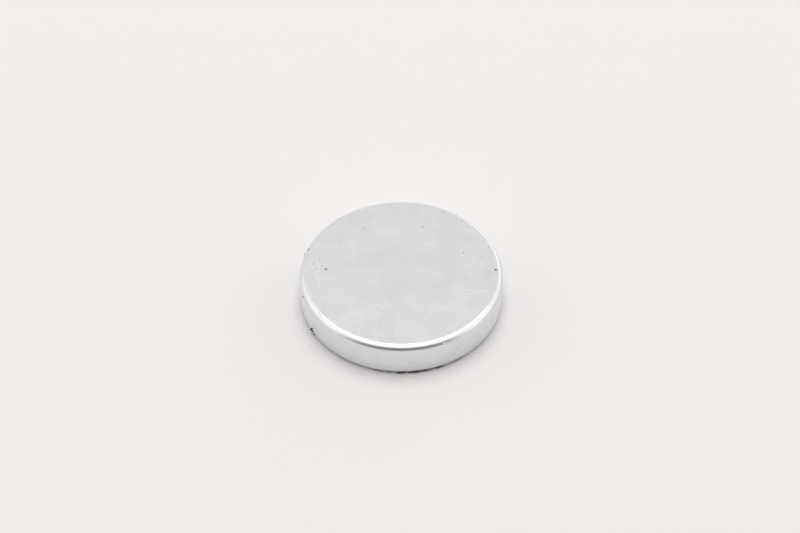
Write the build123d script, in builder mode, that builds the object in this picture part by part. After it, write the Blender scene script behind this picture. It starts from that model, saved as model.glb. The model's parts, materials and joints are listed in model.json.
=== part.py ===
"""Disc magnet: one round, plated magnet with two flat pole faces and rounded rims.

Millimetres, +Z up. The origin is the centre of the lower pole face, which the disc lies on,
and +Z is the disc's own axis, along which it is magnetised.
"""

import os

from build123d import *

# Stock size, measured over the plating.
DISC_DIAMETER = 16.0
DISC_THICKNESS = 3.0

# Tumbling before plating rounds both rims alike.
RIM_RADIUS = 0.5

os.makedirs("parts", exist_ok=True)

# The disc is pressed and sintered as one solid, so it is drawn as a round plate whose two
# rims are then rounded. What is left between the rims is the straight cylindrical wall that
# a round pocket fits around.
with BuildPart() as magnet_disc:
    with BuildSketch(Plane.XY):
        Circle(radius=DISC_DIAMETER / 2)
    extrude(amount=DISC_THICKNESS)
    rims = magnet_disc.edges().filter_by(GeomType.CIRCLE)
    fillet(rims, radius=RIM_RADIUS)

magnet_disc.part.label = "magnet_disc"
export_step(magnet_disc.part, "parts/magnet_disc.step")
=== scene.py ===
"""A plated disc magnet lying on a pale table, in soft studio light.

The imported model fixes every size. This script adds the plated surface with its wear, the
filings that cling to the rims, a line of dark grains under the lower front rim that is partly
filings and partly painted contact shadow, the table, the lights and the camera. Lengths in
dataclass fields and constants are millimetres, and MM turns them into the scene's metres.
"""

import json
import logging
import math
import random
from dataclasses import dataclass
from enum import Enum

import bmesh
import bpy
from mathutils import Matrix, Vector
from mathutils.kdtree import KDTree


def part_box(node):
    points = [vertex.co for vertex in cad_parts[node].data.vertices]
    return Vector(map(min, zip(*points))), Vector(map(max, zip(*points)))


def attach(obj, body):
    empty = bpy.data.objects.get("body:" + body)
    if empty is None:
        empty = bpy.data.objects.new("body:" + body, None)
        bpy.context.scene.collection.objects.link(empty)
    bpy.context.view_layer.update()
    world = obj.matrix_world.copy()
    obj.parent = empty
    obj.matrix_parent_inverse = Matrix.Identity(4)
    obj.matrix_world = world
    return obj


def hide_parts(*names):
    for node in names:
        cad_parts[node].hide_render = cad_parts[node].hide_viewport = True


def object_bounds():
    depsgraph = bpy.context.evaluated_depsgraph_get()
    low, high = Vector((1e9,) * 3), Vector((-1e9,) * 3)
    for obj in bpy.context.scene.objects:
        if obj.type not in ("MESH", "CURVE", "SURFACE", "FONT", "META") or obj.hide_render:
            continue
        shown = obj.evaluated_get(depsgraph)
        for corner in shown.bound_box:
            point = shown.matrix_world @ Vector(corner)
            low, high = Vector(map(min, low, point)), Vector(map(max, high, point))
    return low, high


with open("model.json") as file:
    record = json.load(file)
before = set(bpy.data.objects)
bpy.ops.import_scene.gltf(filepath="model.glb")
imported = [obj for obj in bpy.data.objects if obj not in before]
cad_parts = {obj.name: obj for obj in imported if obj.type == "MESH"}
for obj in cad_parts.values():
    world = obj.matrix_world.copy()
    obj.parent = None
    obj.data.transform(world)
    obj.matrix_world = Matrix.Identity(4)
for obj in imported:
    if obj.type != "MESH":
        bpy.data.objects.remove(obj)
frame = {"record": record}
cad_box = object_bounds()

MM = 0.001
DOWN = (0.0, 0.0, -1.0)
UP = (0.0, 0.0, 1.0)
log = logging.getLogger("disc_magnet")


def linear(hex_colour: str) -> tuple[float, float, float, float]:
    """Turns an sRGB hex colour into the linear colour that shaders take.

    Args:
        hex_colour: six hex digits after a hash, such as "#D9D9DA".

    Returns:
        Linear red, green and blue, and an alpha of 1.
    """
    # The numbers are those of the sRGB standard's own curve.
    channels = [int(hex_colour[i:i + 2], 16) / 255 for i in (1, 3, 5)]
    red, green, blue = (
        c / 12.92 if c <= 0.04045 else ((c + 0.055) / 1.055) ** 2.4 for c in channels
    )
    return red, green, blue, 1.0


def smooth_step(low: float, high: float, value: float) -> float:
    """Eases from 0 at low to 1 at high.

    Args:
        low: where the result leaves 0.
        high: where the result reaches 1.
        value: the number to place between them.

    Returns:
        The eased share, from 0 to 1.
    """
    share = min(1.0, max(0.0, (value - low) / (high - low)))
    return share * share * (3 - 2 * share)


def add_node(
    tree: bpy.types.NodeTree,
    kind: str,
    settings: dict | None = None,
    inputs: dict | None = None,
) -> bpy.types.Node:
    """Adds one node with its settings, input values and links.

    Args:
        tree: the node tree that gets the node.
        kind: the node's type name.
        settings: the node's own properties, by name.
        inputs: each input's value, or the output socket that feeds it, by name or number.

    Returns:
        The new node.
    """
    node = tree.nodes.new(kind)
    for name, value in (settings or {}).items():
        setattr(node, name, value)
    for key, value in (inputs or {}).items():
        if isinstance(value, bpy.types.NodeSocket):
            tree.links.new(value, node.inputs[key])
        else:
            node.inputs[key].default_value = value
    return node


def new_material(name: str) -> tuple[bpy.types.Material, bpy.types.NodeTree]:
    """Makes an empty node material.

    Args:
        name: the material's name.

    Returns:
        The material and its cleared node tree.
    """
    material = bpy.data.materials.new(name)
    material.use_nodes = True
    material.node_tree.nodes.clear()
    return material, material.node_tree


def link_object(name: str, mesh: bpy.types.Mesh) -> bpy.types.Object:
    """Puts a mesh into the scene.

    Args:
        name: the new object's name.
        mesh: its mesh.

    Returns:
        The new object.
    """
    made = bpy.data.objects.new(name, mesh)
    bpy.context.scene.collection.objects.link(made)
    return made


def upper_face_mm() -> float:
    """Gives the upper pole face's height, in millimetres."""
    return cad_box[1].z / MM


# ---------------------------------------------------------------------------- finishes


@dataclass(frozen=True)
class RubMark:
    """A patch of the face where something round rubbed it, leaving a few faint arcs."""

    centre: tuple[float, float]  # what the arcs bend round, from the disc's axis, mm
    middle: tuple[float, float]  # the middle of the patch, mm
    reach: float  # from the patch's middle to where it fades out, mm
    spacing: float  # from one arc to the next, mm
    strength: float  # 1 is the strongest patch


@dataclass(frozen=True)
class BrightZincPlate:
    """Zinc electroplate over a tumbled magnet blank. Lengths are millimetres.

    The bath leaves a bright, neutral, slightly soft mirror. Tumbling leaves fine dimples,
    so what it mirrors has soft edges, and handling leaves hairlines and rubbed arcs.
    """

    colour: str = "#E3E4E6"
    soil_colour: str = "#4A4744"
    face_roughness: float = 0.19
    rim_roughness: float = 0.30
    roughness_change: float = 0.025  # either way, from cloud to cloud
    soil_dullness: float = 0.55  # the roughness that soil adds
    cloud_size: float = 2.6
    fleck_size: float = 0.55
    fleck_share: float = 0.5
    dimmest: float = 0.975  # the clouds' own range of tone
    brightest: float = 1.02
    dimple_size: float = 0.16
    dimple_height: float = 0.0004
    hairline_width: float = 0.05  # real ones are a tenth of this, too fine to show
    hairline_length: float = 1.4
    hairline_turns: tuple[float, float] = (24.0, 131.0)  # degrees
    hairline_strength: float = 0.25
    rubbed_gleam: float = 0.09  # how much paler bare, rubbed metal is
    arc_gap_size: float = 1 / 1.3  # how far apart the breaks in the arcs are
    arc_strength: float = 0.8
    rub_marks: tuple[RubMark, ...] = (
        RubMark((6.6, 5.5), (5.6, -1.6), 1.9, 0.42, 1.0),
        RubMark((9.0, 3.0), (3.4, -4.3), 1.5, 0.55, 0.7),
        RubMark((1.0, 1.5), (-1.4, -4.0), 1.4, 0.48, 0.7),
        RubMark((0.6, 6.0), (0.8, 0.3), 1.3, 0.36, 0.5),
        RubMark((-11.0, 2.0), (-5.4, 2.9), 1.4, 0.46, 0.6),
        RubMark((4.0, -9.0), (-0.3, -6.2), 0.9, 0.50, 0.6),
        RubMark((-12.0, -2.0), (-6.4, -0.9), 1.5, 0.40, 0.6),
        RubMark((8.0, -6.0), (1.6, 3.4), 1.6, 0.60, 0.4),
    )

    def material(self) -> bpy.types.Material:
        """Builds the plating's material.

        Returns:
            A metal whose colour, gloss and relief come from the plating's own patterns.
        """
        material, tree = new_material("bright_zinc_plate_tumbled")
        place = add_node(tree, "ShaderNodeTexCoord").outputs["Object"]
        place_mm = add_node(
            tree, "ShaderNodeVectorMath", {"operation": "SCALE"}, {0: place, "Scale": 1 / MM}
        ).outputs["Vector"]
        rim = add_node(tree, "ShaderNodeAttribute", {"attribute_name": "rim"}).outputs["Fac"]
        soil = add_node(tree, "ShaderNodeAttribute", {"attribute_name": "soil"}).outputs["Fac"]
        clouds = self.clouds(tree, place_mm, self.cloud_size)
        flecks = self.clouds(tree, place_mm, self.fleck_size)
        hairlines = self.hairlines(tree, place_mm)
        arcs = self.rubbed_arcs(tree, place_mm)
        wear = add_node(
            tree, "ShaderNodeMath", {"operation": "ADD", "use_clamp": True},
            {0: hairlines, 1: arcs},
        ).outputs["Value"]

        mottle = add_node(
            tree, "ShaderNodeMix", {}, {"Factor": self.fleck_share, 2: clouds, 3: flecks}
        ).outputs["Result"]
        # Noise seldom leaves the middle third of its range, so the tones are spread over that.
        shade = add_node(
            tree, "ShaderNodeMapRange", {},
            {
                "Value": mottle, "From Min": 0.35, "From Max": 0.65,
                "To Min": self.dimmest, "To Max": self.brightest,
            },
        ).outputs["Result"]
        plate = add_node(
            tree, "ShaderNodeVectorMath", {"operation": "SCALE"},
            {0: linear(self.colour)[:3], "Scale": shade},
        ).outputs["Vector"]
        rubbed = add_node(
            tree, "ShaderNodeMix", {"data_type": "RGBA", "blend_type": "ADD"},
            {"Factor": wear, "A": plate, "B": (*[self.rubbed_gleam] * 3, 1.0)},
        )
        metal_colour = rubbed.outputs["Result"]
        soiled = add_node(
            tree, "ShaderNodeMix", {"data_type": "RGBA"},
            {"Factor": soil, "A": metal_colour, "B": linear(self.soil_colour)},
        )
        metallic = add_node(
            tree, "ShaderNodeMath", {"operation": "SUBTRACT", "use_clamp": True}, {0: 1.0, 1: soil}
        ).outputs["Value"]
        shader = add_node(
            tree, "ShaderNodeBsdfPrincipled", {},
            {
                "Base Color": soiled.outputs["Result"],
                "Metallic": metallic,
                "Roughness": self.gloss(tree, rim, clouds, soil),
                "Normal": self.relief(tree, place_mm),
            },
        )
        add_node(tree, "ShaderNodeOutputMaterial", {}, {"Surface": shader.outputs["BSDF"]})
        return material

    @staticmethod
    def clouds(
        tree: bpy.types.NodeTree, place: bpy.types.NodeSocket, size: float
    ) -> bpy.types.NodeSocket:
        """Adds faint changes of tone.

        Args:
            tree: the material's node tree.
            place: the place on the disc, in millimetres.
            size: how wide one patch is, in millimetres.

        Returns:
            A socket from 0 to 1.
        """
        noise = add_node(
            tree, "ShaderNodeTexNoise", {},
            {"Vector": place, "Scale": 1 / size, "Detail": 3.0, "Roughness": 0.55},
        )
        return noise.outputs["Fac"]

    def hairlines(
        self, tree: bpy.types.NodeTree, place: bpy.types.NodeSocket
    ) -> bpy.types.NodeSocket:
        """Adds two crossing sets of fine, broken scratches.

        Args:
            tree: the material's node tree.
            place: the place on the disc, in millimetres.

        Returns:
            A socket that is above 0 on a scratch.
        """
        sets = []
        for turn_deg in self.hairline_turns:
            turned = add_node(
                tree, "ShaderNodeMapping", {},
                {
                    "Vector": place,
                    "Rotation": (0.0, 0.0, math.radians(turn_deg)),
                    "Scale": (1 / self.hairline_length, 1 / self.hairline_width, 1.0),
                },
            ).outputs["Vector"]
            noise = add_node(
                tree, "ShaderNodeTexNoise", {}, {"Vector": turned, "Scale": 0.5, "Detail": 1.0}
            ).outputs["Fac"]
            sets.append(
                add_node(
                    tree, "ShaderNodeMapRange", {},
                    {
                        "Value": noise, "From Min": 0.64, "From Max": 0.80,
                        "To Min": 0.0, "To Max": self.hairline_strength,
                    },
                ).outputs["Result"]
            )
        return add_node(
            tree, "ShaderNodeMath", {"operation": "MAXIMUM"}, {0: sets[0], 1: sets[1]}
        ).outputs["Value"]

    def rubbed_arcs(
        self, tree: bpy.types.NodeTree, place: bpy.types.NodeSocket
    ) -> bpy.types.NodeSocket:
        """Adds the faint arcs of every rub mark on the face.

        Args:
            tree: the material's node tree.
            place: the place on the disc, in millimetres.

        Returns:
            A socket that is above 0 on an arc.
        """
        broken = add_node(
            tree, "ShaderNodeTexNoise", {},
            {"Vector": place, "Scale": 1 / self.arc_gap_size, "Detail": 2.0},
        ).outputs["Fac"]
        total = None
        for mark in self.rub_marks:
            from_centre = add_node(
                tree, "ShaderNodeVectorMath", {"operation": "DISTANCE"},
                {0: place, 1: (*mark.centre, upper_face_mm())},
            ).outputs["Value"]
            wave = add_node(
                tree, "ShaderNodeMath", {"operation": "SINE"},
                {
                    0: add_node(
                        tree, "ShaderNodeMath", {"operation": "MULTIPLY_ADD"},
                        {0: from_centre, 1: 2 * math.pi / mark.spacing, 2: mark.reach},
                    ).outputs["Value"]
                },
            ).outputs["Value"]
            lines = add_node(
                tree, "ShaderNodeMapRange", {},
                {
                    "Value": wave, "From Min": 0.1, "From Max": 1.0,
                    "To Min": 0.0, "To Max": mark.strength,
                },
            ).outputs["Result"]
            from_middle = add_node(
                tree, "ShaderNodeVectorMath", {"operation": "DISTANCE"},
                {0: place, 1: (*mark.middle, upper_face_mm())},
            ).outputs["Value"]
            fade = add_node(
                tree, "ShaderNodeMapRange", {"interpolation_type": "SMOOTHSTEP"},
                {
                    "Value": from_middle, "From Min": mark.reach * 0.3, "From Max": mark.reach,
                    "To Min": 1.0, "To Max": 0.0,
                },
            ).outputs["Result"]
            patch = add_node(
                tree, "ShaderNodeMath", {"operation": "MULTIPLY"}, {0: lines, 1: fade}
            ).outputs["Value"]
            total = patch if total is None else add_node(
                tree, "ShaderNodeMath", {"operation": "ADD"}, {0: total, 1: patch}
            ).outputs["Value"]
        gaps = add_node(
            tree, "ShaderNodeMapRange", {},
            {
                "Value": broken, "From Min": 0.42, "From Max": 0.62,
                "To Min": 0.0, "To Max": self.arc_strength,
            },
        ).outputs["Result"]
        return add_node(
            tree, "ShaderNodeMath", {"operation": "MULTIPLY"}, {0: total, 1: gaps}
        ).outputs["Value"]

    def gloss(
        self,
        tree: bpy.types.NodeTree,
        rim: bpy.types.NodeSocket,
        clouds: bpy.types.NodeSocket,
        soil: bpy.types.NodeSocket,
    ) -> bpy.types.NodeSocket:
        """Adds the roughness: tumbling leaves the rims a little duller than the faces.

        Args:
            tree: the material's node tree.
            rim: 1 on the rounded rims, 0 away from them.
            clouds: the plating's broad changes of tone.
            soil: how much soil lies in a mark.

        Returns:
            The roughness socket.
        """
        plated = add_node(
            tree, "ShaderNodeMapRange", {},
            {"Value": rim, "To Min": self.face_roughness, "To Max": self.rim_roughness},
        ).outputs["Result"]
        uneven = add_node(
            tree, "ShaderNodeMapRange", {},
            {
                "Value": clouds, "From Min": 0.3, "From Max": 0.7,
                "To Min": -self.roughness_change, "To Max": self.roughness_change,
            },
        ).outputs["Result"]
        dull = add_node(
            tree, "ShaderNodeMath", {"operation": "MULTIPLY_ADD"},
            {0: soil, 1: self.soil_dullness, 2: uneven},
        ).outputs["Value"]
        return add_node(
            tree, "ShaderNodeMath", {"operation": "ADD", "use_clamp": True}, {0: plated, 1: dull}
        ).outputs["Value"]

    def relief(
        self, tree: bpy.types.NodeTree, place: bpy.types.NodeSocket
    ) -> bpy.types.NodeSocket:
        """Adds the fine dimples that tumbling leaves.

        Args:
            tree: the material's node tree.
            place: the place on the disc, in millimetres.

        Returns:
            The normal socket.
        """
        dimples = add_node(
            tree, "ShaderNodeTexNoise", {},
            {"Vector": place, "Scale": 1 / self.dimple_size, "Detail": 2.0},
        ).outputs["Fac"]
        bump = add_node(
            tree, "ShaderNodeBump", {},
            {"Strength": 1.0, "Distance": self.dimple_height * MM, "Height": dimples},
        )
        return bump.outputs["Normal"]


@dataclass(frozen=True)
class IronDustAndShade:
    """Iron filings that a magnet picks up off a bench.

    Tarnish makes them dull and nearly black, with a little brown rust. Under the lower front rim
    the same dark grains also serve as painted contact shadow where the disc meets the table.
    """

    colour: str = "#3B3735"
    rust_colour: str = "#5A4A40"
    metallic: float = 0.3  # tarnish hides most of the bare metal
    roughness: float = 0.6
    rust_size: float = 0.05  # mm, a fleck of rust

    def material(self) -> bpy.types.Material:
        """Builds the filings' material.

        Returns:
            A dark half-metal with rusty flecks.
        """
        material, tree = new_material("iron_filings_and_painted_shade")
        place = add_node(tree, "ShaderNodeTexCoord").outputs["Object"]
        flecks = add_node(
            tree, "ShaderNodeTexNoise", {},
            {"Vector": place, "Scale": 1 / (self.rust_size * MM), "Detail": 2.0},
        ).outputs["Fac"]
        tone = add_node(
            tree, "ShaderNodeMix", {"data_type": "RGBA"},
            {"Factor": flecks, "A": linear(self.colour), "B": linear(self.rust_colour)},
        ).outputs["Result"]
        shader = add_node(
            tree, "ShaderNodeBsdfPrincipled", {},
            {"Base Color": tone, "Metallic": self.metallic, "Roughness": self.roughness},
        )
        add_node(tree, "ShaderNodeOutputMaterial", {}, {"Surface": shader.outputs["BSDF"]})
        return material


@dataclass(frozen=True)
class WhiteCard:
    """Pressed white card, which looks even, matt and a little warm."""

    colour: str = "#EEECEB"
    roughness: float = 0.9

    def material(self) -> bpy.types.Material:
        """Builds the card's material.

        Returns:
            A plain matt material.
        """
        material, tree = new_material("white_card_pressed")
        shader = add_node(
            tree, "ShaderNodeBsdfPrincipled", {},
            {
                "Base Color": linear(self.colour),
                "Roughness": self.roughness,
                "Specular IOR Level": 0.0,
            },
        )
        add_node(tree, "ShaderNodeOutputMaterial", {}, {"Surface": shader.outputs["BSDF"]})
        return material


@dataclass(frozen=True)
class GraduatedFelt:
    """Felt that is dark grey in the middle and thins out to pale cloth at both ends.

    It gives the bright plating a soft, dark line to mirror.
    """

    colour: str = "#838180"
    end_colour: str = "#F2F0EF"
    roughness: float = 0.9
    dark_half_width: float = 0.42  # m
    pale_half_width: float = 0.98  # m

    def material(self) -> bpy.types.Material:
        """Builds the felt's material.

        Returns:
            A matt material whose tone changes along the felt's length.
        """
        material, tree = new_material("graduated_felt")
        place = add_node(tree, "ShaderNodeTexCoord").outputs["Object"]
        across = add_node(tree, "ShaderNodeSeparateXYZ", {}, {"Vector": place}).outputs["X"]
        from_middle = add_node(
            tree, "ShaderNodeMath", {"operation": "ABSOLUTE"}, {0: across}
        ).outputs["Value"]
        paleness = add_node(
            tree, "ShaderNodeMapRange", {},
            {
                "Value": from_middle, "From Min": self.dark_half_width,
                "From Max": self.pale_half_width,
            },
        ).outputs["Result"]
        tone = add_node(
            tree, "ShaderNodeMix", {"data_type": "RGBA"},
            {"Factor": paleness, "A": linear(self.colour), "B": linear(self.end_colour)},
        ).outputs["Result"]
        shader = add_node(
            tree, "ShaderNodeBsdfPrincipled", {},
            {"Base Color": tone, "Roughness": self.roughness, "Specular IOR Level": 0.0},
        )
        add_node(tree, "ShaderNodeOutputMaterial", {}, {"Surface": shader.outputs["BSDF"]})
        return material


# ------------------------------------------------------------------------- the disc


class MarkKind(Enum):
    """What a mark is.

    Its numbers are its depth as a share of its width, how much soil it holds, and where that
    soil starts to fade out.
    """

    PINHOLE = (0.04, 0.95, 0.45)
    SPECK = (0.02, 0.58, 0.4)
    SCRATCH = (0.02, 0.45, 0.4)
    NICK = (0.20, 0.0, 0.0)
    SMUDGE = (0.0, 0.09, -0.4)

    @property
    def depth_share(self) -> float:
        """How deep the mark is, as a share of its width."""
        return self.value[0]

    @property
    def soil(self) -> float:
        """How much soil lies in the mark, from 0 to 1."""
        return self.value[1]

    @property
    def core(self) -> float:
        """Where the soil starts to fade, as a share of the mark. Below 0 is very soft."""
        return self.value[2]


@dataclass(frozen=True)
class Mark:
    """One small fault in the surface."""

    kind: MarkKind
    bearing: float  # degrees round the disc, 0 at the front and 90 at the right
    from_axis: float  # mm
    height: float  # mm above the table
    length: float  # mm
    width: float  # mm
    heading: float = 0.0  # degrees that its length turns from level and round the disc


RAGGED_REACH = 0.7  # of a mark's length: half of it, and the most that its edge wanders


@dataclass(frozen=True)
class Spot:
    """A mark, placed on the disc."""

    mark: Mark
    middle: Vector
    normal: Vector
    along: Vector

    @property
    def reach(self) -> float:
        """How far from its middle the mark can change the skin, ragged edge and all, in mm."""
        return max(self.mark.length, self.mark.width) * RAGGED_REACH


@dataclass
class MagnetDisc:
    """The disc itself, with flat pole faces, a straight wall and two rounded rims.

    Lengths are millimetres.
    """

    radius: float
    thickness: float
    rim_radius: float
    finish: BrightZincPlate
    marks: tuple[Mark, ...]
    segments: int = 360
    rim_steps: int = 14
    wall_steps: int = 10
    face_ring: float = 0.25
    seam_ring: float = 0.02  # a narrow ring keeps the rim's shading off the flat face
    waviness: float = 0.0015
    refine_passes: int = 5
    finest_share: float = 0.2  # the finest edge in a mark, as a share of its width
    lobes: int = 3  # the waves round a mark's edge that make it ragged
    least_lobe: float = 0.05
    most_lobe: float = 0.16
    floor_share: float = 0.15  # how much of a pit's width is its flat bottom
    soil_spill: float = 1.1  # where the soil ends, as a share of the mark
    seed: int = 16
    name: str = "magnet_disc_plated"

    def profile(self) -> list[tuple[float, float]]:
        """Lays out the half section from the upper face's middle to the lower face's.

        Returns:
            Distances from the axis and heights, in millimetres.
        """
        flat = self.radius - self.rim_radius
        rings = round(flat / self.face_ring)
        across = [flat * i / rings for i in range(1, rings)] + [flat - self.seam_ring]
        upper = [(r, self.thickness) for r in across]
        for i in range(self.rim_steps + 1):
            turn = math.pi / 2 * i / self.rim_steps
            upper.append(
                (
                    flat + self.rim_radius * math.sin(turn),
                    self.thickness - self.rim_radius * (1 - math.cos(turn)),
                )
            )
        lower = [(r, self.thickness - z) for r, z in reversed(upper)]
        wall_top = self.thickness - self.rim_radius
        drop = (wall_top - self.rim_radius) / self.wall_steps
        wall = [(self.radius, wall_top - drop * i) for i in range(1, self.wall_steps)]
        return upper + wall + lower

    def surface_at(self, point: Vector) -> tuple[Vector, Vector]:
        """Finds the nearest place on the unworn surface.

        Args:
            point: any point near the surface, in millimetres.

        Returns:
            The place on the surface, in millimetres, and the outward normal there.
        """
        inner = self.radius - self.rim_radius
        level = Vector((point.x, point.y, 0.0))
        core = level.normalized() * min(level.length, inner) if level.length else level
        core.z = min(max(point.z, self.rim_radius), self.thickness - self.rim_radius)
        outward = (point - core).normalized()
        return core + outward * self.rim_radius, outward

    def revolve(self, shape: bmesh.types.BMesh) -> None:
        """Turns the half section round the axis into one closed skin.

        Args:
            shape: the empty mesh that gets the skin, in millimetres.
        """
        steps = [2 * math.pi * i / self.segments for i in range(self.segments)]
        loops = [
            [shape.verts.new((r * math.cos(a), r * math.sin(a), z)) for a in steps]
            for r, z in self.profile()
        ]
        top = shape.verts.new((0.0, 0.0, self.thickness))
        bottom = shape.verts.new((0.0, 0.0, 0.0))
        for i in range(self.segments):
            j = (i + 1) % self.segments
            shape.faces.new((top, loops[0][i], loops[0][j]))
            shape.faces.new((bottom, loops[-1][j], loops[-1][i]))
            for inner, outer in zip(loops, loops[1:]):
                shape.faces.new((inner[i], outer[i], outer[j], inner[j]))

    def place(self, mark: Mark) -> Spot:
        """Works out where a mark lies and which way it runs.

        Args:
            mark: the mark.

        Returns:
            Its place and directions on the unworn surface.
        """
        turn = math.radians(mark.bearing)
        out = Vector((math.sin(turn), -math.cos(turn), 0.0))
        round_the_disc = Vector((math.cos(turn), math.sin(turn), 0.0))
        middle, normal = self.surface_at(out * mark.from_axis + Vector((0.0, 0.0, mark.height)))
        down_the_skin = round_the_disc.cross(normal)
        tilt = math.radians(mark.heading)
        along = round_the_disc * math.cos(tilt) + down_the_skin * math.sin(tilt)
        return Spot(mark, middle, normal, along)

    def refine(self, shape: bmesh.types.BMesh, spots: list[Spot]) -> None:
        """Splits the skin round every mark finely enough to hold its shape.

        Args:
            shape: the disc's mesh, in millimetres.
            spots: the marks, placed.
        """
        nearest = KDTree(len(spots))
        for index, spot in enumerate(spots):
            nearest.insert(spot.middle, index)
        nearest.balance()
        for _ in range(self.refine_passes):
            coarse = []
            for edge in shape.edges:
                start, end = (vert.co for vert in edge.verts)
                _, index, gap = nearest.find((start + end) / 2)
                size = (end - start).length
                mark = spots[index].mark
                if gap < spots[index].reach + size / 2 and size > mark.width * self.finest_share:
                    coarse.append(edge)
            bmesh.ops.subdivide_edges(shape, edges=coarse, cuts=1, use_grid_fill=True)
        # Split faces have points in line, and cutting them this way leaves hardly any slivers.
        bmesh.ops.triangulate(
            shape, faces=shape.faces, quad_method="BEAUTY", ngon_method="BEAUTY"
        )

    def press(
        self, shape: bmesh.types.BMesh, soil: bmesh.types.BMLayerItem, spots: list[Spot]
    ) -> None:
        """Sinks the marks into the skin and soils them.

        Args:
            shape: the disc's mesh, in millimetres.
            soil: the layer that holds how soiled each point is.
            spots: the marks, placed.
        """
        rng = random.Random(self.seed)
        verts = list(shape.verts)
        nearest = KDTree(len(verts))
        for index, vert in enumerate(verts):
            nearest.insert(vert.co, index)
        nearest.balance()
        for spot in spots:
            mark = spot.mark
            across = spot.normal.cross(spot.along)
            lobes = [
                (rng.uniform(self.least_lobe, self.most_lobe), rng.uniform(0, 2 * math.pi))
                for _ in range(self.lobes)
            ]
            depth = mark.width * mark.kind.depth_share
            for _, index, _ in nearest.find_range(spot.middle, spot.reach):
                vert = verts[index]
                offset = vert.co - spot.middle
                u = offset.dot(spot.along) / (mark.length / 2)
                w = offset.dot(across) / (mark.width / 2)
                bearing = math.atan2(w, u)
                # Two, three and four waves round its edge make a mark look torn, not round.
                ragged = 1 + sum(
                    size * math.sin((turns + 2) * bearing + phase)
                    for turns, (size, phase) in enumerate(lobes)
                )
                away = math.hypot(u, w) / ragged
                vert.co -= spot.normal * depth * (1 - smooth_step(self.floor_share, 1.0, away))
                fade = smooth_step(mark.kind.core, self.soil_spill, away)
                soiled = mark.kind.soil * (1 - fade)
                vert[soil] = max(vert[soil], soiled)

    def settle(self, shape: bmesh.types.BMesh, rim: bmesh.types.BMLayerItem) -> None:
        """Marks the rounded rims, and gives the skin the slight unevenness of a tumbled blank.

        Args:
            shape: the disc's mesh, in millimetres.
            rim: the layer that is 1 on the rounded rims.
        """
        # How many waves of each kind run round the disc, and where they start, in radians.
        swells = ((3, 1.1), (7, 0.4), (13, 0.0))
        for vert in shape.verts:
            _, normal = self.surface_at(vert.co)
            # This is 0 on the faces and the wall, and 1 halfway round a rim.
            edge_on = abs(normal.z) * math.hypot(normal.x, normal.y) * 2
            vert[rim] = smooth_step(0.0, 0.5, edge_on)
            turn = math.atan2(vert.co.y, vert.co.x)
            swell = sum(math.sin(waves * turn + offset) for waves, offset in swells)
            dip = (len(swells) + swell) / (2 * len(swells))
            vert.co -= normal * self.waviness * dip * edge_on

    def build(self) -> bpy.types.Object:
        """Builds the worn disc and dresses it.

        Returns:
            The finished piece.
        """
        shape = bmesh.new()
        rim = shape.verts.layers.float.new("rim")
        soil = shape.verts.layers.float.new("soil")
        spots = [self.place(mark) for mark in self.marks]
        self.revolve(shape)
        self.refine(shape, spots)
        self.settle(shape, rim)
        self.press(shape, soil, spots)
        bmesh.ops.recalc_face_normals(shape, faces=shape.faces)
        for face in shape.faces:
            face.smooth = True
        bmesh.ops.scale(shape, vec=Vector((MM, MM, MM)), verts=shape.verts)
        mesh = bpy.data.meshes.new(self.name)
        shape.to_mesh(mesh)
        shape.free()
        mesh.materials.append(self.finish.material())
        return link_object(self.name, mesh)


# -------------------------------------------------------------------- clinging filings and painted contact shadow


@dataclass(frozen=True)
class Grain:
    """One filing, and where it clings."""

    bearing: float  # degrees round the disc, 0 at the front
    from_axis: float  # mm to its middle
    height: float  # mm to its middle
    length: float  # mm
    width: float  # mm
    tilt: float = 0.0  # degrees that its length leans from level


@dataclass(frozen=True)
class GritAndShadeRun:
    """A stretch of the lower rim with dark grains heaped in its middle, partly filings and partly
    painted contact shadow.
    """

    start: float  # degrees round the disc
    end: float
    count: int
    tallest: float  # mm


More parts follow.
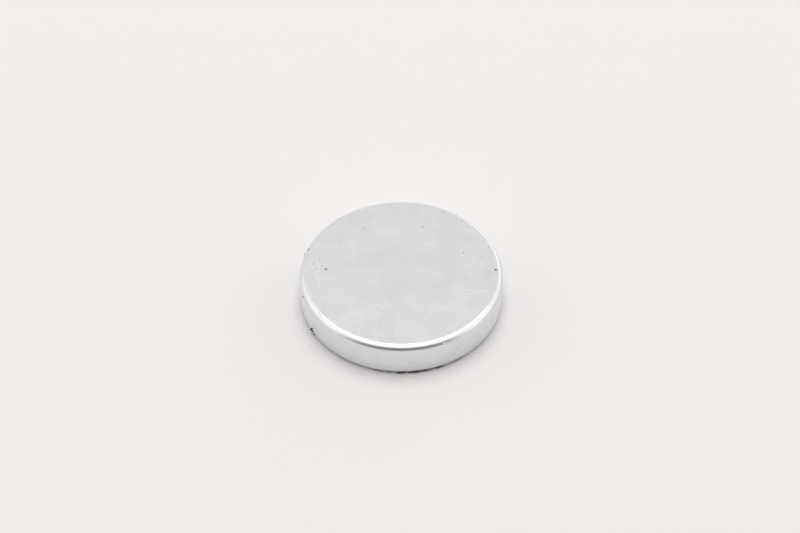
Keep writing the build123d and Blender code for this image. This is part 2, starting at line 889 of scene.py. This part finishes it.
@dataclass
class FilingsAndContactShade:
    """The dark grains against the wall and under the lower rim. The single crumbs are filings; the
    runs heaped under the lower front rim are partly filings and partly painted contact shadow.
    """

    crumbs: tuple[Grain, ...]
    runs: tuple[GritAndShadeRun, ...]
    finish: IronDustAndShade
    rim_reach: float = 7.86  # mm from the axis to the middle of a grain under the rim
    scatter: float = 0.03  # mm, in and out from there
    steepest: float = 40.0  # degrees
    corners: int = 14
    bluntest: float = 0.75  # how far in a corner may lie, as a share of the grain
    seed: int = 5
    name: str = "filings_and_contact_shade"

    def add_grain(self, shape: bmesh.types.BMesh, grain: Grain, rng: random.Random) -> None:
        """Adds one angular grain.

        Args:
            shape: the mesh that holds all the grains, in millimetres.
            grain: where the grain is and how large.
            rng: the seeded source of its corners.
        """
        turn = math.radians(grain.bearing)
        lean = math.radians(grain.tilt)
        out = Vector((math.sin(turn), -math.cos(turn), 0.0))
        level = Vector((math.cos(turn), math.sin(turn), 0.0))
        up = Vector((0.0, 0.0, 1.0))
        along = level * math.cos(lean) + up * math.sin(lean)
        across = up * math.cos(lean) - level * math.sin(lean)
        middle = out * grain.from_axis + up * grain.height
        verts = []
        for _ in range(self.corners):
            spot = Vector([rng.gauss(0, 1) for _ in range(3)]).normalized()
            spot *= rng.uniform(self.bluntest, 1.0)
            corner = (
                middle
                + along * spot.x * grain.length / 2
                + across * spot.y * grain.width / 2
                + out * spot.z * grain.width / 2
            )
            corner.z = max(corner.z, 0.0)
            verts.append(shape.verts.new(corner))
        hull = bmesh.ops.convex_hull(shape, input=verts)
        spare = [v for v in hull["geom_interior"] if isinstance(v, bmesh.types.BMVert)]
        bmesh.ops.delete(shape, geom=spare, context="VERTS")

    def gathered(self, run: GritAndShadeRun, rng: random.Random) -> list[Grain]:
        """Strews the grains of one stretch under the lower rim.

        Args:
            run: the stretch.
            rng: the seeded source of their places and sizes.

        Returns:
            The grains.
        """
        grains = []
        for _ in range(run.count):
            share = rng.random()
            # A run is heaped in its middle, and about half as high at its ends.
            heap = run.tallest * (0.55 + 0.45 * math.sin(math.pi * share)) * rng.uniform(0.7, 1.0)
            width = heap * rng.uniform(0.45, 0.6)
            grains.append(
                Grain(
                    bearing=run.start + (run.end - run.start) * share,
                    from_axis=self.rim_reach + rng.uniform(-self.scatter, self.scatter),
                    height=rng.uniform(width / 2, max(width / 2, heap - width / 2)),
                    length=width * rng.uniform(1.2, 2.0),
                    width=width,
                    tilt=rng.uniform(-self.steepest, self.steepest),
                )
            )
        return grains

    def build(self) -> bpy.types.Object:
        """Builds all the grains as one piece.

        Returns:
            The finished piece.
        """
        rng = random.Random(self.seed)
        shape = bmesh.new()
        grains = list(self.crumbs)
        for run in self.runs:
            grains += self.gathered(run, rng)
        for grain in grains:
            self.add_grain(shape, grain, rng)
        bmesh.ops.recalc_face_normals(shape, faces=shape.faces)
        bmesh.ops.scale(shape, vec=Vector((MM, MM, MM)), verts=shape.verts)
        mesh = bpy.data.meshes.new(self.name)
        shape.to_mesh(mesh)
        shape.free()
        mesh.materials.append(self.finish.material())
        return link_object(self.name, mesh)


# ------------------------------------------------------------------------ the studio


@dataclass(frozen=True)
class Panel:
    """A flat panel of the light tent that faces the disc."""

    name: str
    middle: tuple[float, float, float]  # m
    facing: tuple[float, float, float]
    width: float  # m, level
    height: float  # m
    radiance: float = 0.0  # what a lamp adds to the tent behind it, where 1 is white


@dataclass
class Studio:
    """The table, the light tent round it and the camera. Lengths are mm unless marked."""

    top_middle: Vector  # the middle of the disc's upper face
    table: WhiteCard = WhiteCard()
    flag: GraduatedFelt = GraduatedFelt()
    table_width: float = 5.0  # m
    table_drop: float = 0.001  # mm, which keeps it clear of the disc's lower face
    tent_colour: str = "#EFEDEC"
    tent_light: float = 0.64  # how strongly the cloth lights the table, for its colour
    camera_elevation: float = 46.9  # degrees
    camera_distance: float = 192.0
    aim_right: float = -0.11  # the camera points a little left of and above the middle
    aim_up: float = 0.44
    field_width: float = 62.8  # what the view spans at the disc
    sensor_width: float = 36.0
    nearest_seen: float = 10.0
    farthest_seen: float = 10000.0
    softboxes: tuple[Panel, ...] = (
        Panel("overhead_cloth", (0.0, -0.10, 1.0), DOWN, 1.50, 1.36, 0.28),
        Panel("overhead_softbox", (0.0, -0.10, 0.99), DOWN, 0.66, 1.36, 0.46),
        Panel("key_softbox", (0.0, 0.22, 0.98), DOWN, 0.46, 0.60, 3.20),
        Panel("left_softbox", (-1.0, 0.20, 0.66), (1.0, 0.0, 0.0), 1.37, 0.88, 0.40),
        Panel("right_softbox", (1.0, 0.55, 0.66), (-1.0, 0.0, 0.0), 2.07, 0.88, 0.40),
        Panel("far_softbox", (0.42, 0.92, 0.28), (-0.42, -0.92, 0.0), 0.44, 0.50, 0.45),
    )
    front_flag: Panel = Panel("front_flag", (0.0, -0.60, 0.43), (0.0, 1.0, 0.0), 1.90, 0.86)

    def add_sheet(self, panel: Panel, material: bpy.types.Material) -> bpy.types.Object:
        """Adds a flat sheet to the stage.

        Args:
            panel: the sheet's place and size.
            material: its material.

        Returns:
            The new object.
        """
        side = Vector((panel.width / 2, 0.0, 0.0))
        rise = Vector((0.0, panel.height / 2, 0.0))
        turn = Vector(panel.facing).to_track_quat("Z", "Y")
        corners = [-side - rise, side - rise, side + rise, rise - side]
        mesh = bpy.data.meshes.new(panel.name)
        mesh.from_pydata([turn @ c + Vector(panel.middle) for c in corners], [], [(0, 1, 2, 3)])
        mesh.materials.append(material)
        sheet = link_object(panel.name, mesh)
        return sheet

    def add_softbox(self, panel: Panel) -> None:
        """Adds one softbox that the camera doesn't see and the plating mirrors.

        Args:
            panel: its place, size and brightness.
        """
        light = bpy.data.lights.new(panel.name, "AREA")
        light.shape = "RECTANGLE"
        light.size = panel.width
        light.size_y = panel.height
        light.energy = panel.radiance * math.pi * panel.width * panel.height
        lamp = bpy.data.objects.new(panel.name, light)
        lamp.location = panel.middle
        lamp.rotation_mode = "QUATERNION"
        lamp.rotation_quaternion = Vector(panel.facing).to_track_quat("-Z", "Y")
        lamp.visible_camera = False
        bpy.context.scene.collection.objects.link(lamp)

    def add_world(self) -> None:
        """Lights everything evenly, as the tent's cloth does, in front of a pale backdrop.

        The plating mirrors the cloth as pale as it stands behind the disc. Its light on the
        table is set by tent_light.
        """
        world = bpy.data.worlds.new("tent_cloth")
        world.use_nodes = True
        tree = world.node_tree
        tree.nodes.clear()
        rays = add_node(tree, "ShaderNodeLightPath").outputs
        seen = add_node(
            tree, "ShaderNodeMath", {"operation": "MAXIMUM"},
            {0: rays["Is Camera Ray"], 1: rays["Is Glossy Ray"]},
        ).outputs["Value"]
        seen = add_node(
            tree, "ShaderNodeMath", {"operation": "MAXIMUM"},
            {0: seen, 1: rays["Is Transmission Ray"]},
        ).outputs["Value"]
        strength = add_node(
            tree, "ShaderNodeMapRange", {},
            {"Value": seen, "To Min": self.tent_light, "To Max": 1.0},
        ).outputs["Result"]
        cloth = add_node(
            tree, "ShaderNodeBackground", {},
            {"Color": linear(self.tent_colour), "Strength": strength},
        )
        add_node(tree, "ShaderNodeOutputWorld", {}, {"Surface": cloth.outputs["Background"]})
        bpy.context.scene.world = world

    def add_camera(self) -> None:
        """Places the camera in front of the disc, looking down on it."""
        rise = math.radians(self.camera_elevation)
        back = Vector((0.0, -math.cos(rise), math.sin(rise)))
        up = Vector((0.0, math.sin(rise), math.cos(rise)))
        aim = self.top_middle + (Vector((self.aim_right, 0.0, 0.0)) + up * self.aim_up) * MM
        lens = bpy.data.cameras.new("camera")
        lens.sensor_width = self.sensor_width
        lens.lens = self.sensor_width * self.camera_distance / self.field_width
        lens.clip_start = self.nearest_seen * MM
        lens.clip_end = self.farthest_seen * MM
        camera = bpy.data.objects.new("camera", lens)
        camera.location = aim + back * self.camera_distance * MM
        camera.rotation_mode = "QUATERNION"
        camera.rotation_quaternion = back.to_track_quat("Z", "Y")
        bpy.context.scene.collection.objects.link(camera)
        bpy.context.scene.camera = camera

    def build(self) -> None:
        """Builds the table, the lights and the camera."""
        ground = Panel(
            "table", (0.0, 0.0, -self.table_drop * MM), UP, self.table_width, self.table_width
        )
        self.add_sheet(ground, self.table.material())
        flag = self.add_sheet(self.front_flag, self.flag.material())
        flag.visible_camera = False
        for panel in self.softboxes:
            self.add_softbox(panel)
        self.add_world()
        self.add_camera()
        bpy.context.scene.view_settings.view_transform = "Standard"


# ------------------------------------------------------------------------- assembly

FACE_MARKS = (
    Mark(MarkKind.PINHOLE, -93, 5.95, 3.0, 0.28, 0.23, 40),
    Mark(MarkKind.SPECK, -96, 6.35, 3.0, 0.22, 0.12, 20),
    Mark(MarkKind.SCRATCH, -98, 6.95, 3.0, 0.80, 0.15, 8),
    Mark(MarkKind.SCRATCH, -93, 6.75, 3.0, 0.62, 0.14, 14),
    Mark(MarkKind.SCRATCH, -91, 7.05, 3.0, 0.55, 0.12, 6),
    Mark(MarkKind.SCRATCH, -102, 6.6, 3.0, 0.48, 0.12, -20),
    Mark(MarkKind.SCRATCH, -84, 6.9, 3.0, 0.80, 0.10, -12),
    Mark(MarkKind.SCRATCH, -148, 5.7, 3.0, 0.52, 0.15, 122),
    Mark(MarkKind.SPECK, 161, 5.2, 3.0, 0.32, 0.22, -20),
    Mark(MarkKind.SPECK, 152.5, 7.42, 3.0, 0.36, 0.18, 5),
    Mark(MarkKind.SPECK, 139, 7.4, 3.0, 0.32, 0.15, 20),
    Mark(MarkKind.SPECK, 133, 7.2, 3.0, 0.20, 0.10, 70),
    Mark(MarkKind.PINHOLE, 113, 5.35, 3.0, 0.18, 0.13),
    Mark(MarkKind.SPECK, 105, 6.5, 3.0, 0.28, 0.10, 50),
    Mark(MarkKind.PINHOLE, 92, 7.42, 3.0, 0.28, 0.25),
    Mark(MarkKind.SPECK, -74, 3.9, 3.0, 0.16, 0.10),
    Mark(MarkKind.SCRATCH, -54, 2.8, 3.0, 0.30, 0.08, 80),
    Mark(MarkKind.SCRATCH, 58, 4.05, 3.0, 0.34, 0.08, 148),
    Mark(MarkKind.SCRATCH, 88, 6.9, 3.0, 0.50, 0.08, 10),
)
RIM_MARKS = (
    Mark(MarkKind.NICK, 25, 7.9, 2.8, 0.34, 0.17, -20),
    Mark(MarkKind.NICK, 31, 7.9, 2.75, 0.26, 0.13, 15),
    Mark(MarkKind.NICK, -41, 7.7, 2.95, 0.25, 0.12, 30),
    Mark(MarkKind.NICK, 148, 7.8, 2.9, 0.30, 0.14),
    Mark(MarkKind.PINHOLE, -109, 7.8, 2.9, 0.26, 0.24),
)
WALL_MARKS = (
    Mark(MarkKind.SMUDGE, 33, 8.0, 1.7, 1.40, 0.80, 10),
    Mark(MarkKind.SMUDGE, 25.5, 8.0, 1.4, 1.10, 0.70, -10),
    Mark(MarkKind.SMUDGE, 30, 8.0, 1.1, 1.00, 0.60),
    Mark(MarkKind.SMUDGE, 6, 8.0, 1.4, 1.60, 0.70, 15),
    Mark(MarkKind.SMUDGE, 48, 8.0, 1.5, 1.20, 0.80, 20),
    Mark(MarkKind.SPECK, -70, 8.0, 1.6, 0.16, 0.12),
    Mark(MarkKind.SCRATCH, 172, 8.0, 1.3, 0.90, 0.07, 12),
    Mark(MarkKind.SMUDGE, 205, 8.0, 1.8, 0.80, 0.50, 30),
)
CRUMBS = (
    Grain(-61.5, 8.04, 0.58, 0.30, 0.26, 30),
    Grain(-60.3, 8.03, 0.46, 0.20, 0.14, -20),
    Grain(-58.0, 8.02, 0.42, 0.26, 0.10, -50),
    Grain(-73.5, 7.99, 2.62, 0.20, 0.15, 10),
    Grain(-106.5, 7.97, 2.62, 0.22, 0.17, 30),
)
# Runs of dark grains heaped under the lower rim, most at the front: partly filings and partly
# painted contact shadow where the disc meets the table.
GRIT_AND_SHADE_RUNS = (
    GritAndShadeRun(-2.5, 4.0, 16, 0.42),
    GritAndShadeRun(4.0, 14.0, 26, 0.40),
    GritAndShadeRun(13.0, 27.0, 24, 0.26),
    GritAndShadeRun(-16.0, -2.0, 18, 0.16),
    GritAndShadeRun(27.0, 40.0, 12, 0.14),
)


def main() -> None:
    """Builds the disc, what clings to it with the painted contact shadow under its front rim, and
    the studio.
    """
    logging.basicConfig(level=logging.INFO, format="%(name)s: %(message)s")
    low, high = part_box("magnet_disc")
    thickness = (high.z - low.z) / MM
    rim_mount = next(m for m in frame["record"]["mounts"] if m["name"] == "rim")
    disc = MagnetDisc(
        radius=(high.x - low.x) / 2 / MM,
        thickness=thickness,
        rim_radius=(thickness - rim_mount["dims"]["length_mm"]) / 2,
        finish=BrightZincPlate(),
        marks=FACE_MARKS + RIM_MARKS + WALL_MARKS,
    )
    plated = disc.build()
    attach(plated, "root")
    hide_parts("magnet_disc")
    log.info("%s: %d faces", plated.name, len(plated.data.polygons))

    # Its runs under the lower front rim are partly filings and partly painted contact shadow.
    filings = FilingsAndContactShade(CRUMBS, GRIT_AND_SHADE_RUNS, IronDustAndShade()).build()
    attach(filings, "root")
    log.info("%s: %d faces", filings.name, len(filings.data.polygons))

    Studio(top_middle=Vector((0.0, 0.0, high.z))).build()
    log.info("table, light tent and camera are in place")


if __name__ == "__main__":
    main()
